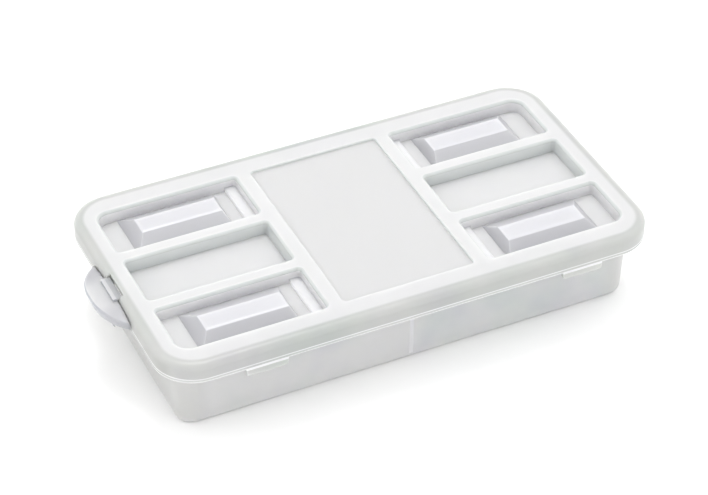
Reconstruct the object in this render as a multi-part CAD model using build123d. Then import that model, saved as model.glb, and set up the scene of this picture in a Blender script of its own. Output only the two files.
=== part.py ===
from build123d import *
import math
import os

# A snap-lid storage box in natural polypropylene: tray, divider, lift-off lid and end clasp.
# Millimetres. Origin: middle of the tray's underside. X runs along the box, Z is up.

# Whole box
box_height = 36.0

# Lid shell
lid_length = 200.0
lid_width = 109.4
lid_corner_radius = 16.0
lid_top_edge_radius = 2.4
lid_wall = 1.5
skirt_depth = 8.0
skirt_edge_radius = 0.5

# Recesses in the lid's top
rim_width_end = 9.1
rim_width_side = 11.4
centre_panel_length = 53.2
centre_panel_depth = 0.9
centre_ridge_width = 6.4
mid_panel_width = 25.0
cross_ridge_width = 5.9
mid_panel_depth = 5.8
corner_recess_depth = 5.5
corner_recess_radius = 5.2
recess_inner_radius = 1.6
recess_draft = 4.0
recess_top_radius = 1.3
panel_top_radius = 0.6
floor_step_length = 4.7
floor_step_height = 1.2
floor_step_radius = 0.9

# Raised pads in the four corner recesses
pad_ridge_gap = 12.3
pad_length = 32.1
pad_cross_gap = 9.0
pad_width = 7.9
pad_top_depth = 0.9
pad_slope_outer = 5.2
pad_slope_inner = 2.9
pad_edge_chamfer = 0.4
pad_sink = 0.3

# Snap tabs that hang from the lid's long sides
left_tab_x = -62.0
right_tab_x = 66.8
tab_length = 16.6
tab_drop = 3.2
tab_corner_radius = 1.3
tab_edge_radius = 0.4
snap_nose_length = 11.0
snap_nose_radius = 0.7
snap_nose_height = 0.3
snap_nose_drop = 2.0
snap_clearance = 0.3

# Tray
tray_wall = 1.5
tray_floor = 1.5
tray_draft = 2.6
tray_foot_radius = 3.4
tray_inner_foot_radius = 2.2
plug_clearance = 0.3
flange_thickness = 1.5
lip_thickness = 1.3
lip_rise = 0.6

# Divider and the ribs that hold it
divider_thickness = 1.4
divider_slot_clearance = 0.15
divider_end_clearance = 0.3
divider_top_clearance = 0.5
divider_foot_radius = 3.0
guide_rib_width = 1.2
guide_rib_depth = 2.0

# End clasp
clasp_centre_y = 1.0
clasp_gap = 0.25
clasp_arm_thickness = 1.8
clasp_arm_width = 18.6
lobe_width = 42.0
lobe_front_width = 20.0
lobe_corner_radius = 24.0
lobe_reach = 9.2
lobe_top_drop = 2.0
lobe_thickness = 5.2
lobe_crown_radius = 80.0
lobe_draft = 18.0
lobe_edge_radius = 0.8
nib_width = 13.0
nib_length = 1.8
nib_top_drop = 1.2
nib_thickness = 5.0
notch_side_clearance = 0.4
notch_end_clearance = 0.5
pivot_drop = 10.1
pivot_offset = 1.85
knuckle_radius = 1.7
pivot_pin_radius = 0.9
pivot_running_clearance = 0.06
pivot_pin_setback = 0.6
lug_width = 6.0
lug_clearance = 0.3
lug_gusset_height = 4.0
knuckle_mouth = 1.5

# Places worked out from the sizes above
skirt_z = box_height - skirt_depth
rim_underside_z = box_height - lid_wall
recess_end_x = lid_length / 2 - rim_width_end
recess_side_y = lid_width / 2 - rim_width_side
corner_recess_x = centre_panel_length / 2 + centre_ridge_width
corner_recess_y = mid_panel_width / 2 + cross_ridge_width
pad_x = corner_recess_x + pad_ridge_gap
pad_y = corner_recess_y + pad_cross_gap
draft_slope = math.tan(math.radians(tray_draft))
tray_outset = lid_wall + plug_clearance + tray_wall
tray_foot_shrink = rim_underside_z * draft_slope
tray_foot_x = recess_end_x + tray_outset - tray_foot_shrink
tray_foot_y = recess_side_y + tray_outset - tray_foot_shrink
tray_foot_corner_radius = corner_recess_radius + tray_outset - tray_foot_shrink
lip_inset = lid_wall + snap_nose_height + snap_clearance
divider_top_z = rim_underside_z - centre_panel_depth - divider_top_clearance
clasp_face_x = -lid_length / 2 - clasp_gap
pivot_x = clasp_face_x - pivot_offset
pivot_z = box_height - pivot_drop
lobe_top_z = box_height - lobe_top_drop
notch_end_x = clasp_face_x + nib_length + notch_end_clearance
notch_width = nib_width + 2 * notch_side_clearance
beyond = 5.0
same_height = 0.001


def plate(x_low, x_high, y_low, y_high, z_low, z_high):
    size = Box(x_high - x_low, y_high - y_low, z_high - z_low)
    return Pos((x_low + x_high) / 2, (y_low + y_high) / 2, (z_low + z_high) / 2) * size


def rounded_block(length, width, radius, z_low, z_high):
    return extrude(Pos(0, 0, z_low) * RectangleRounded(length, width, radius), z_high - z_low)


def rod_along_y(x, z, radius, length):
    return Pos(x, 0, z) * Rot(90, 0, 0) * Cylinder(radius, length)


def rod_along_x(x, y, z, radius, length):
    return Pos(x, y, z) * Rot(0, 90, 0) * Cylinder(radius, length)


def at_both_ends(shape):
    return shape + mirror(shape, Plane.YZ)


def at_both_sides(shape):
    return shape + mirror(shape, Plane.XZ)


def at_four_corners(shape):
    return at_both_sides(at_both_ends(shape))


def pocket(x_low, x_high, y_low, y_high, depth, skin):
    """A drafted recess in the lid's top; skin grows it to the far side of the lid's wall."""
    centre = Pos((x_low + x_high) / 2, (y_low + y_high) / 2, box_height)
    outline = RectangleRounded(
        x_high - x_low + 2 * skin, y_high - y_low + 2 * skin, recess_inner_radius + skin
    )
    return extrude(centre * outline, depth + skin, dir=(0, 0, -1), taper=recess_draft)


def centre_panel(skin):
    half = centre_panel_length / 2
    return pocket(-half, half, -recess_side_y, recess_side_y, centre_panel_depth, skin)


def mid_panels(skin):
    half = mid_panel_width / 2
    return at_both_ends(pocket(corner_recess_x, recess_end_x, -half, half, mid_panel_depth, skin))


def corner_recess(skin):
    """One of the four deep recesses; its outer corner is rounder than the others."""
    shape = pocket(corner_recess_x, recess_end_x, corner_recess_y, recess_side_y, corner_recess_depth, skin)
    field_outline = RectangleRounded(
        2 * (recess_end_x + skin), 2 * (recess_side_y + skin), corner_recess_radius + skin
    )
    field = extrude(
        Pos(0, 0, box_height) * field_outline, corner_recess_depth + skin, dir=(0, 0, -1), taper=recess_draft
    )
    return shape & field


def pad(inset, z_low, z_top):
    """A raised pad whose sides slope down to the recess's long walls and its end ledges."""
    foot_low = pad_x - pad_slope_inner
    foot_high = pad_x + pad_length + pad_slope_outer
    foot = Rectangle(foot_high - foot_low - 2 * inset, recess_side_y - corner_recess_y - 2 * inset)
    top = Rectangle(pad_length - 2 * inset, pad_width - 2 * inset)
    return loft([
        Pos((foot_low + foot_high) / 2, (corner_recess_y + recess_side_y) / 2, z_low) * foot,
        Pos(pad_x + pad_length / 2, pad_y + pad_width / 2, z_top) * top,
    ])


def top_ridge_edges(block, near_x, far_x):
    """The edges where the flat rim and ridges turn down, between two distances from the middle."""
    top = block.edges().filter_by(lambda e: abs(e.center().Z - box_height) < same_height)
    limit_y = (recess_side_y + lid_width / 2 - lid_top_edge_radius) / 2
    return top.filter_by(lambda e: near_x <= abs(e.center().X) < far_x and abs(e.center().Y) < limit_y)


def lid_outside():
    block = rounded_block(lid_length, lid_width, lid_corner_radius, skirt_z, box_height)
    block = fillet(block.edges().group_by(Axis.Z)[-1], lid_top_edge_radius)
    block = fillet(block.edges().group_by(Axis.Z)[0], skirt_edge_radius)
    recess = corner_recess(0)
    floor_z = box_height - corner_recess_depth
    recess -= plate(
        corner_recess_x - beyond, corner_recess_x + floor_step_length, 0, lid_width,
        floor_z - beyond, floor_z + floor_step_height,
    )
    step_edge = recess.edges().filter_by(Axis.Y).filter_by(
        lambda e: abs(e.center().Z - floor_z - floor_step_height) < same_height
        and abs(e.center().X - corner_recess_x - floor_step_length) < same_height
    )
    recess = fillet(step_edge, floor_step_radius)
    block -= centre_panel(0) + mid_panels(0) + at_four_corners(recess)
    ridge_x = (centre_panel_length + centre_ridge_width) / 2
    rim_x = (recess_end_x + lid_length / 2 - lid_top_edge_radius) / 2
    block = fillet(top_ridge_edges(block, ridge_x, rim_x), recess_top_radius)
    block = fillet(top_ridge_edges(block, 0, ridge_x), panel_top_radius)
    raised = pad(0, floor_z - pad_sink, box_height - pad_top_depth)
    raised = chamfer(raised.edges().group_by(Axis.Z)[-1], pad_edge_chamfer)
    return block + at_four_corners(raised)


def lid_inside():
    hollow = rounded_block(
        lid_length - 2 * lid_wall, lid_width - 2 * lid_wall, lid_corner_radius - lid_wall,
        skirt_z - beyond, rim_underside_z,
    )
    hollow -= centre_panel(lid_wall) + mid_panels(lid_wall) + at_four_corners(corner_recess(lid_wall))
    under_floor_z = box_height - corner_recess_depth - lid_wall
    return hollow + at_four_corners(
        pad(lid_wall, under_floor_z - pad_sink, box_height - pad_top_depth - lid_wall)
    )


def snap_tab(centre_x):
    """A tab under the front skirt, with the nose that clicks under the tray's lip."""
    outer_y = -lid_width / 2
    tab = plate(
        centre_x - tab_length / 2, centre_x + tab_length / 2, outer_y, outer_y + lid_wall,
        skirt_z - tab_drop, skirt_z + lid_wall / 2,
    )
    tab = fillet(tab.edges().filter_by(Axis.Y).group_by(Axis.Z)[0], tab_corner_radius)
    outline = tab.faces().sort_by(Axis.Y)[0].edges()
    tab = fillet(outline.filter_by(lambda e: e.center().Z < skirt_z), tab_edge_radius)
    nose_y = outer_y + lid_wall + snap_nose_height - snap_nose_radius
    return tab + rod_along_x(centre_x, nose_y, skirt_z - snap_nose_drop, snap_nose_radius, snap_nose_length)


def lid():
    shell = lid_outside() - lid_inside()
    shell += at_both_sides(snap_tab(left_tab_x) + snap_tab(right_tab_x))
    notch = plate(
        clasp_face_x - beyond, notch_end_x, -notch_width / 2, notch_width / 2,
        skirt_z - beyond, box_height + beyond,
    )
    return shell - Pos(0, clasp_centre_y, 0) * notch


def drafted_block(z_low, z_high, inset):
    """The tray's outline between two heights; inset moves it in to the wall's inner face."""
    grown = z_low * draft_slope - inset
    outline = RectangleRounded(
        2 * (tray_foot_x + grown), 2 * (tray_foot_y + grown), tray_foot_corner_radius + grown
    )
    return extrude(Pos(0, 0, z_low) * outline, z_high - z_low, taper=-tray_draft)


def rim_ring(z_low, z_high, thickness):
    """A band just inside the lid's skirt, from the lip's outer face inwards."""
    inner = lip_inset + thickness
    outside = rounded_block(
        lid_length - 2 * lip_inset, lid_width - 2 * lip_inset, lid_corner_radius - lip_inset, z_low, z_high
    )
    inside = rounded_block(
        lid_length - 2 * inner, lid_width - 2 * inner, lid_corner_radius - inner, z_low, z_high
    )
    return outside - inside


def rolled_rim():
    """The flange and down-turned lip round the top of the tray, open behind the clasp."""
    flange = rounded_block(
        lid_length - 2 * lip_inset, lid_width - 2 * lip_inset, lid_corner_radius - lip_inset,
        rim_underside_z - flange_thickness, rim_underside_z,
    )
    lip = rim_ring(skirt_z + lip_rise, rim_underside_z, lip_thickness)
    gap = plate(
        clasp_face_x, -recess_end_x - tray_outset, -notch_width / 2, notch_width / 2,
        skirt_z - beyond, box_height,
    )
    return flange + lip - Pos(0, clasp_centre_y, 0) * gap


def clasp_lug():
    """The lug on the tray's left end, with a stub pin each side for the clasp to turn on."""
    wall_x = -tray_foot_x - pivot_z * draft_slope + tray_wall / 2
    radius = knuckle_radius - lug_clearance / 2
    eye = rod_along_y(pivot_x, pivot_z, radius, lug_width)
    arm = plate(pivot_x, wall_x, -lug_width / 2, lug_width / 2, pivot_z - radius, pivot_z + radius)
    gusset_outline = Polyline(
        (pivot_x, 0, pivot_z - radius), (wall_x, 0, pivot_z - radius),
        (wall_x, 0, pivot_z - radius - lug_gusset_height), close=True,
    )
    gusset = extrude(make_face(gusset_outline), lug_width / 2, both=True)
    pins = rod_along_y(pivot_x, pivot_z, pivot_pin_radius, clasp_arm_width - 2 * pivot_pin_setback)
    return Pos(0, clasp_centre_y, 0) * (eye + arm + gusset + pins)


def guide_ribs():
    """Pairs of ribs on both long walls that hold the divider upright."""
    inner = divider_thickness / 2 + divider_slot_clearance
    rib = plate(
        inner, inner + guide_rib_width, tray_foot_y - tray_wall - guide_rib_depth, lid_width / 2,
        tray_floor / 2, divider_top_z,
    )
    core = drafted_block(tray_floor / 2, rim_underside_z, tray_wall / 2)
    core = fillet(core.edges().group_by(Axis.Z)[0], tray_foot_radius - tray_wall / 2)
    return at_four_corners(rib) & core


def base_tray():
    shell = drafted_block(0, rim_underside_z, 0)
    shell = fillet(shell.edges().group_by(Axis.Z)[0], tray_foot_radius)
    shell += rolled_rim()
    hollow = drafted_block(tray_floor, rim_underside_z + beyond, tray_wall)
    hollow = fillet(hollow.edges().group_by(Axis.Z)[0], tray_inner_foot_radius)
    return shell - hollow + guide_ribs() + clasp_lug()


def divider():
    inner_foot_y = tray_foot_y - tray_wall - divider_end_clearance
    low_y = inner_foot_y + tray_floor * draft_slope
    high_y = inner_foot_y + divider_top_z * draft_slope
    outline = Polyline(
        (0, -low_y, tray_floor), (0, low_y, tray_floor), (0, high_y, divider_top_z),
        (0, -high_y, divider_top_z), close=True,
    )
    face = make_face(outline)
    face = fillet(face.vertices().group_by(Axis.Z)[0], divider_foot_radius)
    return extrude(face, divider_thickness / 2, both=True)


def finger_lobe():
    """The crowned lobe at the top of the clasp that a finger pulls; its flank draws in downwards."""
    front_x = clasp_face_x - lobe_reach
    outline = Polyline(
        (clasp_face_x + beyond, -lobe_width / 2), (clasp_face_x, -lobe_width / 2),
        (front_x, -lobe_front_width / 2), (front_x, lobe_front_width / 2),
        (clasp_face_x, lobe_width / 2), (clasp_face_x + beyond, lobe_width / 2), close=True,
    )
    face = make_face(outline)
    face = fillet(face.vertices().group_by(Axis.X)[0], lobe_corner_radius)
    lobe = extrude(Pos(0, 0, lobe_top_z) * face, lobe_thickness, dir=(0, 0, -1), taper=lobe_draft)
    lobe &= rod_along_x(clasp_face_x, 0, lobe_top_z - lobe_crown_radius, lobe_crown_radius, 4 * lobe_reach)
    underside_z = lobe_top_z - lobe_thickness
    rim = lobe.edges().filter_by(
        lambda e: e.center().X < clasp_face_x and e.center().Z > underside_z + same_height
    )
    lobe = fillet(rim, lobe_edge_radius)
    return lobe - plate(
        clasp_face_x, clasp_face_x + 2 * beyond, -lobe_width, lobe_width, 0, box_height
    )


def end_clasp():
    arm = plate(
        clasp_face_x - clasp_arm_thickness, clasp_face_x, -clasp_arm_width / 2, clasp_arm_width / 2,
        pivot_z, lobe_top_z - lobe_thickness / 2,
    )
    knuckle = rod_along_y(pivot_x, pivot_z, knuckle_radius, clasp_arm_width)
    nib_top_z = box_height - nib_top_drop
    nib = plate(
        clasp_face_x - clasp_arm_thickness, clasp_face_x + nib_length, -nib_width / 2, nib_width / 2,
        nib_top_z - nib_thickness, nib_top_z,
    )
    body = finger_lobe() + arm + knuckle + nib
    room_width = lug_width + 2 * lug_clearance
    room_radius = knuckle_radius + lug_clearance
    lug_room = rod_along_y(pivot_x, pivot_z, room_radius, room_width)
    lug_room += plate(
        pivot_x, clasp_face_x + beyond, -room_width / 2, room_width / 2,
        pivot_z - room_radius, pivot_z + room_radius,
    )
    bore = rod_along_y(pivot_x, pivot_z, pivot_pin_radius + pivot_running_clearance, lid_width)
    mouth = plate(
        pivot_x - knuckle_mouth / 2, pivot_x + knuckle_mouth / 2, -clasp_arm_width, clasp_arm_width,
        pivot_z - 2 * knuckle_radius, pivot_z,
    )
    return Pos(0, clasp_centre_y, 0) * (body - lug_room - bore - mouth)


os.makedirs("parts", exist_ok=True)
pieces = {
    "base_tray": base_tray(),
    "lid": lid(),
    "divider": divider(),
    "end_clasp": end_clasp(),
}
for name, shape in pieces.items():
    export_step(shape, f"parts/{name}.step")
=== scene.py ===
# A snap-lid storage box in natural polypropylene, dressed around its CAD solids and photographed on white.
import math

import bmesh
import bpy
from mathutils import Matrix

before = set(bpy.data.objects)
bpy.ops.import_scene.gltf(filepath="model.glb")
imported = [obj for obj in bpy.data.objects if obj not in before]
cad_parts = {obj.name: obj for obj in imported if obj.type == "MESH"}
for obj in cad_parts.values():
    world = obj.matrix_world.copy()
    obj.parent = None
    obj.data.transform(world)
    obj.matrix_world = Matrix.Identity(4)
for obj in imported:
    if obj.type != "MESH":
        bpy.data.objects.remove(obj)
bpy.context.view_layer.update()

# Base tray
# The tray is one injection moulding in natural polypropylene: thin drafted walls, a rolled rim under the lid
# and a lug for the clasp. The resin isn't dyed, so the walls look milky and let some light through.

mm = 0.001


def linear_colour(hex_code):
    """A linear colour, fully opaque, from an sRGB hex value."""
    parts = [int(hex_code[i:i + 2], 16) / 255 for i in (0, 2, 4)]
    toe, slope, offset, gamma = 0.04045, 12.92, 0.055, 2.4
    return [c / slope if c <= toe else ((c + offset) / (1 + offset)) ** gamma for c in parts] + [1.0]


def add_node(material, kind, settings=None, **sockets):
    """Adds a node, sets its properties, and gives each named or numbered socket a value or a link."""
    made = material.node_tree.nodes.new(kind)
    for name, value in (settings or {}).items():
        setattr(made, name, value)
    for name, value in sockets.items():
        socket = made.inputs[int(name[1:])] if name[1:].isdigit() else made.inputs[name.replace("_", " ")]
        if isinstance(value, bpy.types.NodeSocket):
            material.node_tree.links.new(value, socket)
        else:
            socket.default_value = value
    return made


def zone(colour, blur, x=(None, None), y=(None, None), z=(None, None), slopes_only=False):
    """A box in mm that has another tone, mirrored about both centre planes. None leaves a side open."""
    return {"colour": colour, "blur": blur, "X": x, "Y": y, "Z": z, "slopes_only": slopes_only}


def inside_zone(material, place, tone, sloping):
    """One within a zone, fading to nothing over its blur, and for some zones only where the wall slopes."""
    share = sloping if tone["slopes_only"] else 1.0
    fade = tone["blur"] / 2
    for axis in "XYZ":
        low_side, high_side = tone[axis]
        for edge, before, after in ((low_side, 0.0, 1.0), (high_side, 1.0, 0.0)):
            if edge is None:
                continue
            step = add_node(
                material, "ShaderNodeMapRange", {"interpolation_type": "SMOOTHSTEP"},
                Value=place.outputs[axis], From_Min=edge - fade, From_Max=edge + fade,
                To_Min=before, To_Max=after,
            ).outputs["Result"]
            share = add_node(
                material, "ShaderNodeMath", {"operation": "MULTIPLY"}, i0=share, i1=step
            ).outputs["Value"]
    return share


def outside_border(material, folded, border):
    """One past a rounded oblong about the middle, and nothing within it."""
    half_length, half_width, corner_radius, blur = border
    past_centre = add_node(
        material, "ShaderNodeVectorMath", {"operation": "SUBTRACT"}, i0=folded,
        i1=(half_length - corner_radius, half_width - corner_radius, half_length),
    ).outputs["Vector"]
    past_centre = add_node(
        material, "ShaderNodeVectorMath", {"operation": "MAXIMUM"}, i0=past_centre, i1=(0, 0, 0)
    ).outputs["Vector"]
    reach = add_node(material, "ShaderNodeVectorMath", {"operation": "LENGTH"}, Vector=past_centre)
    return add_node(
        material, "ShaderNodeMapRange", {"interpolation_type": "SMOOTHSTEP"}, Value=reach.outputs["Value"],
        From_Min=corner_radius - blur / 2, From_Max=corner_radius + blur / 2,
    ).outputs["Result"]


def tinted(material, colour, in_mm, depth, cloud_mm, strength, cloud_colour):
    """The colour with soft clouds of a tint, stronger where one looks along more of the wall."""
    cloud = add_node(material, "ShaderNodeTexNoise", Vector=in_mm, Scale=1 / cloud_mm, Detail=2.0)
    cloud_from, cloud_to = 0.45, 0.7
    share = add_node(
        material, "ShaderNodeMapRange", Value=cloud.outputs["Fac"],
        From_Min=cloud_from, From_Max=cloud_to, To_Min=0.0, To_Max=strength,
    ).outputs["Result"]
    share = add_node(material, "ShaderNodeMath", {"operation": "MULTIPLY"}, i0=share, i1=depth)
    return add_node(
        material, "ShaderNodeMix", {"data_type": "RGBA", "blend_type": "MULTIPLY"},
        Factor=share.outputs["Value"], i6=colour, i7=linear_colour(cloud_colour),
    ).outputs[2]


def moulded_polypropylene(name, face, wall, cool_cloud, warm_cloud, clarity, zones=(), border=None):
    """Undyed polypropylene, textured on the flats and polished on the walls, with painted light and shade:
    the flats and the walls that stand or slope get different tones, standing in for how light falls on each.

    It scatters light under a satin skin, so the eye sees a milky body with soft edges and faint clouds.
    A later zone covers an earlier one. The border is a rounded oblong in mm, given as half length, half
    width, corner radius and blur, and past it the wall's painted tone begins on the flats too.
    """
    material = bpy.data.materials.new(name)
    material.use_nodes = True
    material.node_tree.nodes.clear()
    spot = add_node(material, "ShaderNodeTexCoord")
    in_mm = add_node(
        material, "ShaderNodeVectorMath", {"operation": "SCALE"}, Vector=spot.outputs["Object"], Scale=1 / mm
    ).outputs["Vector"]
    folded = add_node(
        material, "ShaderNodeVectorMath", {"operation": "ABSOLUTE"}, Vector=in_mm
    ).outputs["Vector"]
    place = add_node(material, "ShaderNodeSeparateXYZ", Vector=folded)
    facing = add_node(
        material, "ShaderNodeVectorMath", {"operation": "ABSOLUTE"}, Vector=spot.outputs["Normal"]
    )
    level = add_node(material, "ShaderNodeSeparateXYZ", Vector=facing.outputs["Vector"])
    slopes_from, flat_from = 0.86, 0.985
    sloping = add_node(
        material, "ShaderNodeMapRange", {"interpolation_type": "SMOOTHSTEP"}, Value=level.outputs["Z"],
        From_Min=slopes_from, From_Max=flat_from, To_Min=1.0, To_Max=0.0,
    ).outputs["Result"]
    if border:
        sloping = add_node(
            material, "ShaderNodeMath", {"operation": "MAXIMUM"},
            i0=sloping, i1=outside_border(material, folded, border),
        ).outputs["Value"]
    # Painted light and shade: flats take the face colour, while standing or sloping walls and flats past the
    # border take the wall colour.
    colour = add_node(
        material, "ShaderNodeMix", {"data_type": "RGBA"},
        Factor=sloping, i6=linear_colour(face), i7=linear_colour(wall),
    ).outputs[2]

    tint_on_flats = 0.25
    depth = add_node(
        material, "ShaderNodeMapRange", Value=sloping, To_Min=tint_on_flats, To_Max=1.0
    ).outputs["Result"]
    cool_mm, cool_strength = 34, 0.7
    colour = tinted(material, colour, in_mm, depth, cool_mm, cool_strength, cool_cloud)
    warm_mm, warm_strength = 23, 0.6
    colour = tinted(material, colour, in_mm, depth, warm_mm, warm_strength, warm_cloud)
    for tone in zones:
        colour = add_node(
            material, "ShaderNodeMix", {"data_type": "RGBA"}, i6=colour, i7=linear_colour(tone["colour"]),
            Factor=inside_zone(material, place, tone, sloping),
        ).outputs[2]

    # The mould's spark texture is about 0.1 mm wide, too fine to show here, so the grain is drawn coarser.
    grain_mm, grain_height_mm = 0.7, 0.006
    grain = add_node(material, "ShaderNodeTexNoise", Vector=in_mm, Scale=1 / grain_mm, Detail=2.0)
    bump = add_node(
        material, "ShaderNodeBump", Strength=1.0, Distance=grain_height_mm * mm, Height=grain.outputs["Fac"]
    )
    satin, polypropylene_ior = 0.3, 1.49
    scatter, scatter_tint, scatter_mm = 0.9, (1.0, 1.0, 0.92), 6.0
    surface = add_node(
        material, "ShaderNodeBsdfPrincipled", Base_Color=colour, Roughness=satin, IOR=polypropylene_ior,
        Transmission_Weight=clarity, Subsurface_Weight=scatter, Subsurface_Radius=scatter_tint,
        Subsurface_Scale=scatter_mm * mm, Normal=bump.outputs["Normal"],
    )
    add_node(material, "ShaderNodeOutputMaterial", Surface=surface.outputs["BSDF"])
    return material


def dress(node_name, material):
    """Gives a CAD node its one material."""
    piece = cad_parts[node_name]
    piece.data.materials.clear()
    piece.data.materials.append(material)


# Zones are in mm from the middle of the box's foot. The end walls are painted a little greyer than the long
# walls as painted shade,
# # and a painted light line stands for the divider showing through the long walls.
shaded_end_walls = zone("D5D5D2", blur=10, x=(84, None), z=(1, 30))
divider_line = zone("FCFCFE", blur=0.6, x=(None, 0.8), y=(38, None), z=(3, 26))
# Painted light: the tray's walls are painted lighter than its flats and than the lid's walls of the same
# resin, against the shade under the lid.
dress("base_tray", moulded_polypropylene(
    "moulded_polypropylene_tray", face="E2E2E0", wall="E4E4E2", cool_cloud="E8F3EF", warm_cloud="EEECF8",
    clarity=0.25, zones=[shaded_end_walls, divider_line],
))

# Divider
# A thin flat wall of the same undyed resin, moulded alone and slid down between the tray's guide ribs.
# It lies behind the front wall, so it shows only through that wall and with the lid off.

dress("divider", moulded_polypropylene(
    "moulded_polypropylene_divider", face="F6F8F8", wall="F8FAFA", cool_cloud="F0F6F4",
    warm_cloud="F4F2FA", clarity=0.3,
))

# Lid
# One moulding with a broad rolled rim, deep corner recesses with raised pads, and a frosted centre panel.
# Its tabs click under the tray's rim. Its colours hold painted light and shade: deep walls and ridge edges
# are painted greyer than the flats between them, and the recess walls lighter.

lid_half_length, lid_half_width, lid_corner_radius = 100.0, 54.7, 16.0
skirt_foot, lid_top = 28.0, 36.0
walls_end, walls_side, cross_ridge_middle = 92.0, 44.6, 15.4
edges_foot, panel_top = 34.6, 35.3
crisp, soft = 0.3, 0.6

# Painted light: the recess walls are painted lighter, standing in for light that the thin walls let through
# into the recesses' shade.
lightened_mid_walls = zone(
    "DCE1DF", blur=soft, x=(None, walls_end), y=(None, walls_side), z=(skirt_foot, lid_top), slopes_only=True
)
lightened_corner_walls = zone(
    "FFFFFF", blur=soft, x=(None, walls_end), y=(cross_ridge_middle, walls_side), z=(skirt_foot, 35.6),
    slopes_only=True,
)
# Painted shade: darker lines on the recesses' rounded top edges.
shaded_recess_edges = zone(
    "C8CCCA", blur=crisp, x=(None, walls_end), y=(None, 44.9), z=(edges_foot, 35.97), slopes_only=True
)
# Painted shade: the pads' slopes are painted darker.
shaded_pad_slopes = zone("B8B8BC", blur=crisp, x=(41.0, 83.5), y=(19.0, 42.7), z=(29.0, 35.0), slopes_only=True)
centre_panel = zone("D1D1D0", blur=0.5, x=(None, 26.4), y=(None, 43.1), z=(edges_foot, panel_top))
pad_top = zone("D4D4D8", blur=0.4, x=(44.8, 78.0), y=(26.8, 35.9), z=(34.7, panel_top))
# Painted highlight: the small steps in the recess floors are painted lighter.
floor_step_highlight = zone("E2E2E3", blur=crisp, x=(33.0, 37.9), y=(18.0, 43.6), z=(31.2, 32.2))

# Painted shade makes the skirt greyer at the box's ends. A painted highlight lies on its foot, and a fine
# painted light line runs just above it.
shaded_end_skirt = zone("AFB0AD", blur=3.0, x=(97.5, None), z=(None, edges_foot))
skirt_edge_highlight = zone("FAFCFC", blur=0.4, z=(27.5, 28.55))
line_height = (29.45, 29.85)
side_light_line = zone("ECEEEE", blur=crisp, y=(46.0, None), z=line_height, slopes_only=True)
end_light_line = zone("ECEEEE", blur=crisp, x=(93.0, None), z=line_height, slopes_only=True)

# Painted shade: from this line outwards the rim's flat takes the wall's darker tone, standing in for the
# shade on a rim that rolls over towards the skirt more widely than the solid does.
roll_inset, roll_blur = 3.75, 1.7
rim_roll_shade = (
    lid_half_length - roll_inset, lid_half_width - roll_inset, lid_corner_radius - roll_inset, roll_blur
)
dress("lid", moulded_polypropylene(
    "moulded_polypropylene_lid", face="DBDBDA", wall="BFC0BD", cool_cloud="EDF4F1", warm_cloud="F2F0F8",
    clarity=0.15, border=rim_roll_shade,
    zones=[
        lightened_mid_walls, lightened_corner_walls, shaded_recess_edges, shaded_pad_slopes, centre_panel, pad_top, floor_step_highlight,
        shaded_end_skirt, skirt_edge_highlight, side_light_line, end_light_line,
    ],
))

# End clasp
# A small separate moulding of the same resin: a crowned finger lobe over a split knuckle that snaps onto the
# lug's stub pins, with a nib that stands in the lid's notch. A fingertip swings it out and down.

# Painted shade: the clasp is painted darker than the lid of the same resin, the lobe darker still towards
# both its ends, and the nib darker than the lobe.
shaded_lobe_ends = zone("ACACB1", blur=9.0, x=(100.8, None), y=(9.0, None))
shaded_nib_top = zone("ACAEB0", blur=0.4, x=(None, 100.6), y=(None, 7.6))
dress("end_clasp", moulded_polypropylene(
    "moulded_polypropylene_clasp", face="C8C8CA", wall="A8AAB0", cool_cloud="E8F2EE", warm_cloud="ECEAF6",
    clarity=0.2, zones=[shaded_lobe_ends, shaded_nib_top],
))

# Floor, light and camera
# A plain white board in an even white surround, under one soft overhead light, seen from the front left and
# above. The matt board has no glints and takes only a faint contact shadow.

floor_size = 6.0
floor_shape = bmesh.new()
bmesh.ops.create_grid(floor_shape, x_segments=1, y_segments=1, size=floor_size / 2)
floor_mesh = bpy.data.meshes.new("floor")
floor_shape.to_mesh(floor_mesh)
floor_shape.free()
floor = bpy.data.objects.new("floor", floor_mesh)
bpy.context.scene.collection.objects.link(floor)
floor_paint = bpy.data.materials.new("white_studio_board")
floor_paint.use_nodes = True
floor_paint.node_tree.nodes.clear()
board = add_node(
    floor_paint, "ShaderNodeBsdfPrincipled", Base_Color=linear_colour("FAFAFA"), Roughness=0.9, IOR=1.3
)
add_node(floor_paint, "ShaderNodeOutputMaterial", Surface=board.outputs["BSDF"])
floor_mesh.materials.append(floor_paint)

softbox = bpy.data.lights.new("overhead_softbox", "AREA")
softbox.shape = "DISK"
softbox.size = 0.6
softbox.energy = 7.0
softbox_lamp = bpy.data.objects.new("overhead_softbox", softbox)
softbox_lamp.location = (0.15, 0.5, 1.5)
softbox_lamp.rotation_euler = (-softbox_lamp.location).to_track_quat("-Z", "Y").to_euler()
bpy.context.scene.collection.objects.link(softbox_lamp)

world = bpy.data.worlds.new("studio_white")
world.use_nodes = True
surround = world.node_tree.nodes["Background"]
surround.inputs["Color"].default_value = linear_colour("FFFFFF")
surround.inputs["Strength"].default_value = 1.35
bpy.context.scene.world = world
bpy.context.scene.view_settings.view_transform = "Standard"

# The camera stands where the photograph was taken from, worked out from the box's own edges.
camera_pitch, camera_turn = 38.558, 25.116
focal_pixels, picture_width = 2551.2, 708
sensor_width = 36.0
camera_data = bpy.data.cameras.new("camera")
camera_data.sensor_width = sensor_width
camera_data.lens = focal_pixels / picture_width * sensor_width
camera = bpy.data.objects.new("camera", camera_data)
camera.location = (-0.32629, -0.69103, 0.62993)
camera.rotation_euler = (math.radians(90 - camera_pitch), 0, math.radians(-camera_turn))
bpy.context.scene.collection.objects.link(camera)
bpy.context.scene.camera = camera
